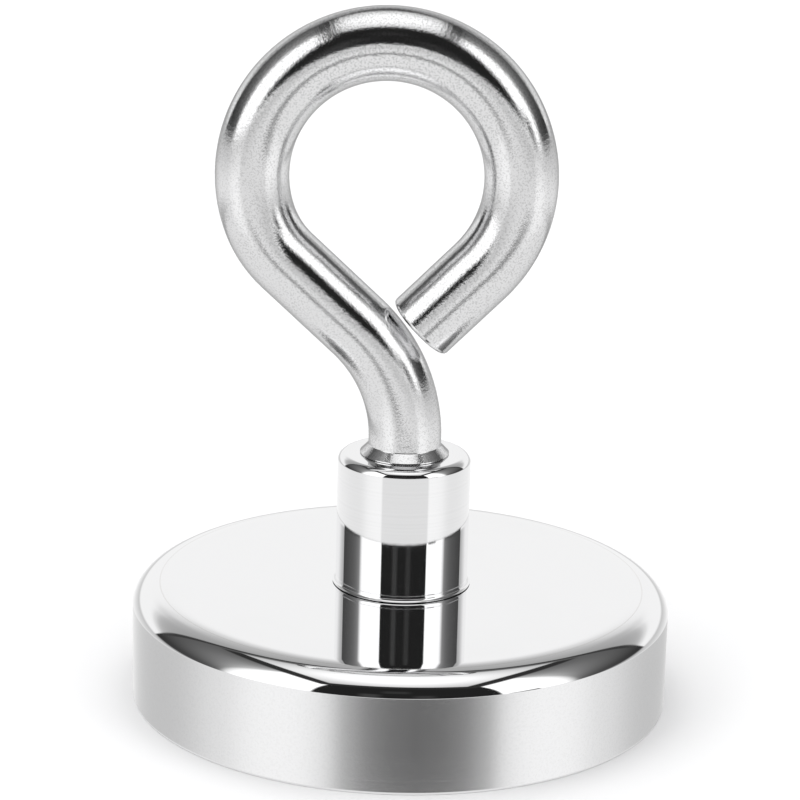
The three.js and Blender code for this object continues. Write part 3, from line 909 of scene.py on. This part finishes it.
class MAGNET_OT_stage(bpy.types.Operator):
    """Set the pale floor, the studio light and the camera"""
    bl_idname = "magnet.stage"
    bl_label = "Stage"

    def execute(self, context):
        self.floor(context)
        self.light(context)
        self.camera(context)
        context.scene.view_settings.view_transform = "Standard"
        context.scene.view_settings.look = "None"
        return {"FINISHED"}

    def floor(self, context):
        clear()
        bpy.ops.mesh.primitive_circle_add(vertices=96, radius=2.6, fill_type="NGON")
        floor = context.object
        floor.name = floor.data.name = "studio_floor"
        material = bpy.data.materials.new("pale_floor")
        material.use_nodes = True
        g = Graph(material.node_tree)
        shader = material.node_tree.nodes["Principled BSDF"]
        shader.inputs["Specular IOR Level"].default_value = 0.0
        shader.inputs["Roughness"].default_value = 1.0
        place = g.add("ShaderNodeTexCoord").outputs["Object"]
        tone = tuple(context.scene.fishing_magnet.colours.floor)
        g.put(shader.inputs["Base Color"], g.mix(g.noise(place, 9.0), tint(tone, 0.995),
                                                 tint(tone, 1.005)))
        clear_back = g.add("ShaderNodeMixShader", {
            0: g.add("ShaderNodeNewGeometry").outputs["Backfacing"], 1: shader.outputs[0],
            2: g.add("ShaderNodeBsdfTransparent").outputs[0]}).outputs[0]
        g.put(material.node_tree.nodes["Material Output"].inputs["Surface"], clear_back)
        floor.data.materials.append(material)
        floor.visible_glossy = False
        clear()

    def light(self, context):
        world = bpy.data.worlds.new("studio")
        context.scene.world = world
        world.use_nodes = True
        world.node_tree.nodes.clear()
        g = Graph(world.node_tree)
        xyz = g.add("ShaderNodeSeparateXYZ", {
            0: g.add("ShaderNodeTexCoord").outputs["Generated"]}).outputs
        x, y, z = g.math("ABSOLUTE", xyz["X"]), xyz["Y"], xyz["Z"]
        to_degrees = math.degrees(1.0)
        azimuth = g.times(g.math("ARCTAN2", xyz["X"], g.times(y, -1.0)), to_degrees)
        elevation = g.times(g.math("ARCSINE", z), to_degrees)

        level = self.walls(g, azimuth, elevation)
        level = self.backdrop(g, level, azimuth, elevation, x, y, z)
        for brightness, *place in (FLAG, *STAND):
            level = g.blend(self.panel(g, azimuth, elevation, *place), level, brightness)
        level = self.ceiling(g, level, elevation, x, y, z)
        level = self.table(g, level, azimuth, elevation)
        seen = g.add("ShaderNodeLightPath").outputs["Is Camera Ray"]
        level = g.blend(seen, level, SEEN_BACKGROUND)
        sky = g.add("ShaderNodeBackground", {"Color": level, "Strength": 1.0}).outputs[0]
        g.put(g.add("ShaderNodeOutputWorld").inputs["Surface"], sky)

        clear()
        bpy.ops.object.light_add(type="SUN", rotation=[math.radians(a) for a in SUN_TILT])
        sun = context.object
        sun.name = sun.data.name = "ceiling_light"
        sun.data.angle = math.radians(SUN_ANGLE)
        sun.data.energy = SUN_ENERGY
        sun.visible_glossy = False
        clear()

    @staticmethod
    def panel(g, azimuth, elevation, centre, half_width, lowest, highest, softness):
        """Mask of a soft-edged panel."""
        upright = use(g, "Band", Value=elevation, Low=lowest, High=highest, Softness=softness)
        across = use(g, "Band", Value=away_from(g, azimuth, centre), Low=-180.0, High=half_width,
                     Softness=softness)
        return g.times(upright["Mask"], across["Mask"])

    def walls(self, g, azimuth, elevation):
        """The side walls, whose lit parts are dimmer low down."""
        level = self.falloff(g, azimuth, *SIDE_WALLS)
        lit = g.remap(level, 0.5, 1.2)
        return g.times(level, g.blend(lit, g.remap(elevation, 10.0, 48.0, 0.25, 1.0), 1.0))

    def backdrop(self, g, level, azimuth, elevation, x, y, z):
        """The sheet behind the object: brightest low down and in the middle, with a dark frame."""
        wide, deep_rough_and_shaded, tall = BACKDROP_EXTENT
        extent = g.plus(g.plus(g.times(x, wide), g.times(y, deep_rough_and_shaded)), g.times(z, tall))
        off_centre = g.math("MAXIMUM", g.minus(BACKDROP_CORNER, g.math("ABSOLUTE", azimuth)), 0.0)
        height = g.plus(elevation, g.times(off_centre, 0.45))
        level = g.blend(g.remap(extent, 0.995, 1.01), level, self.curve(g, height, BACKDROP))
        frame_edge = g.times(g.remap(extent, 0.96, 0.97), g.remap(extent, 1.02, 1.005))
        frame_edge = g.times(frame_edge, g.remap(elevation, 12.0, 30.0, 0.0, 0.9))
        return g.blend(frame_edge, level, BACKDROP_FRAME)

    def ceiling(self, g, level, elevation, x, y, z):
        """The lit ceiling, with a dark seam along its sides and its front."""
        over_side = g.ratio(z, g.times(x, g.math("MULTIPLY_ADD", y, 0.17, SIDE_SLOPE)))
        over_front = g.ratio(z, g.math("MAXIMUM", g.times(y, -FRONT_SLOPE), 0.01))
        over_back = g.ratio(z, g.math("MAXIMUM", g.times(y, BACK_SLOPE), 0.01))
        over = g.math("MINIMUM", over_side, over_front)
        ahead = g.remap(over_back, 0.92, 1.08)
        seam = g.times(g.remap(over, 0.74, 0.80), g.remap(elevation, 25.0, 35.0))
        level = g.blend(g.times(seam, ahead), level, SEAM)
        lit = g.times(g.remap(over, 1.0, 1.06), ahead)
        return g.blend(lit, level, g.remap(elevation, 56.0, 76.0, 0.6, 1.12))

    def table(self, g, level, azimuth, elevation):
        """The table below the horizon, with a band where its edge turns down."""
        top = g.times(self.falloff(g, azimuth, *TABLE), g.remap(elevation, -14.0, 2.0, 1.0, 0.62))
        level = g.blend(g.remap(elevation, 5.0, 1.0), level, top)
        upper, upper_full, lower_full, lower = TABLE_EDGE_BAND
        edge = g.times(g.remap(elevation, upper, upper_full), g.remap(elevation, lower, lower_full))
        level = g.blend(edge, level, self.falloff(g, azimuth, *TABLE_EDGE))
        return g.blend(g.remap(elevation, lower, lower - 4.0), level, BELOW_TABLE)

    def falloff(self, g, azimuth, centre, stops):
        """Brightness by how far round an azimuth lies from a centre, the same on both sides."""
        return self.curve(g, away_from(g, azimuth, centre), stops)

    @staticmethod
    def curve(g, angle, stops):
        """Brightness by an angle that runs from the first stop to the last."""
        first, last = stops[0][0], stops[-1][0]
        curve = g.add("ShaderNodeFloatCurve", {"Value": g.remap(angle, first, last)})
        line = curve.mapping.curves[0]
        curve.mapping.clip_max_y = 2.0
        for index, (stop, value) in enumerate(stops):
            place = ((stop - first) / (last - first), value)
            if index < 2:
                line.points[index].location = place
            else:
                line.points.new(*place)
        for point in line.points:
            point.handle_type = "AUTO_CLAMPED"
        curve.mapping.update()
        return curve.outputs[0]

    def camera(self, context):
        back = Vector((0, -math.cos(CAMERA_ELEVATION), math.sin(CAMERA_ELEVATION)))
        data = bpy.data.cameras.new("camera")
        data.lens, data.sensor_width = CAMERA_LENS, CAMERA_SENSOR
        data.clip_start, data.clip_end = 0.01, 20.0
        camera = bpy.data.objects.new("camera", data)
        context.scene.collection.objects.link(camera)
        pitch = Matrix.Rotation(math.pi / 2 - CAMERA_ELEVATION, 3, "X")
        camera.location = CAMERA_AIM + back * CAMERA_DISTANCE
        camera.rotation_euler = (pitch @ Matrix.Rotation(CAMERA_ROLL, 3, "Z")).to_euler()
        context.scene.camera = camera


# ------------------------------------------------------------------ panel and registration

PIECE_OPERATORS = (MAGNET_OT_cup, MAGNET_OT_magnet, MAGNET_OT_screw, MAGNET_OT_sleeve,
                   MAGNET_OT_thread_lock, MAGNET_OT_eyebolt, MAGNET_OT_stage)


class MAGNET_PT_panel(bpy.types.Panel):
    """Sizes, colours and building steps of the fishing magnet"""
    bl_idname = "MAGNET_PT_panel"
    bl_label = "Fishing Magnet"
    bl_space_type = "VIEW_3D"
    bl_region_type = "UI"
    bl_category = "Magnet"

    def draw(self, context):
        settings = context.scene.fishing_magnet
        for operator in PIECE_OPERATORS:
            self.layout.operator(operator.bl_idname)
        for part in settings.bl_rna.properties.keys():
            group = getattr(settings, part)
            if isinstance(group, bpy.types.PropertyGroup):
                box = self.layout.box()
                box.label(text=part.replace("_", " ").capitalize())
                for key in group.__annotations__:
                    box.prop(group, key)


CLASSES = (CupSizes, MagnetSizes, ThreadSizes, SleeveSizes, EyeSizes, ScrewSizes, FinishColours,
           FishingMagnet, *PIECE_OPERATORS, MAGNET_PT_panel)


def register():
    for cls in CLASSES:
        bpy.utils.register_class(cls)
    bpy.types.Scene.fishing_magnet = PointerProperty(type=FishingMagnet)


def unregister():
    del bpy.types.Scene.fishing_magnet
    for cls in reversed(CLASSES):
        bpy.utils.unregister_class(cls)


def main():
    register()
    build_effects()
    for step in ("stage", "cup", "magnet", "screw", "sleeve", "thread_lock", "eyebolt"):
        getattr(bpy.ops.magnet, step)()


if __name__ == "__main__":
    main()
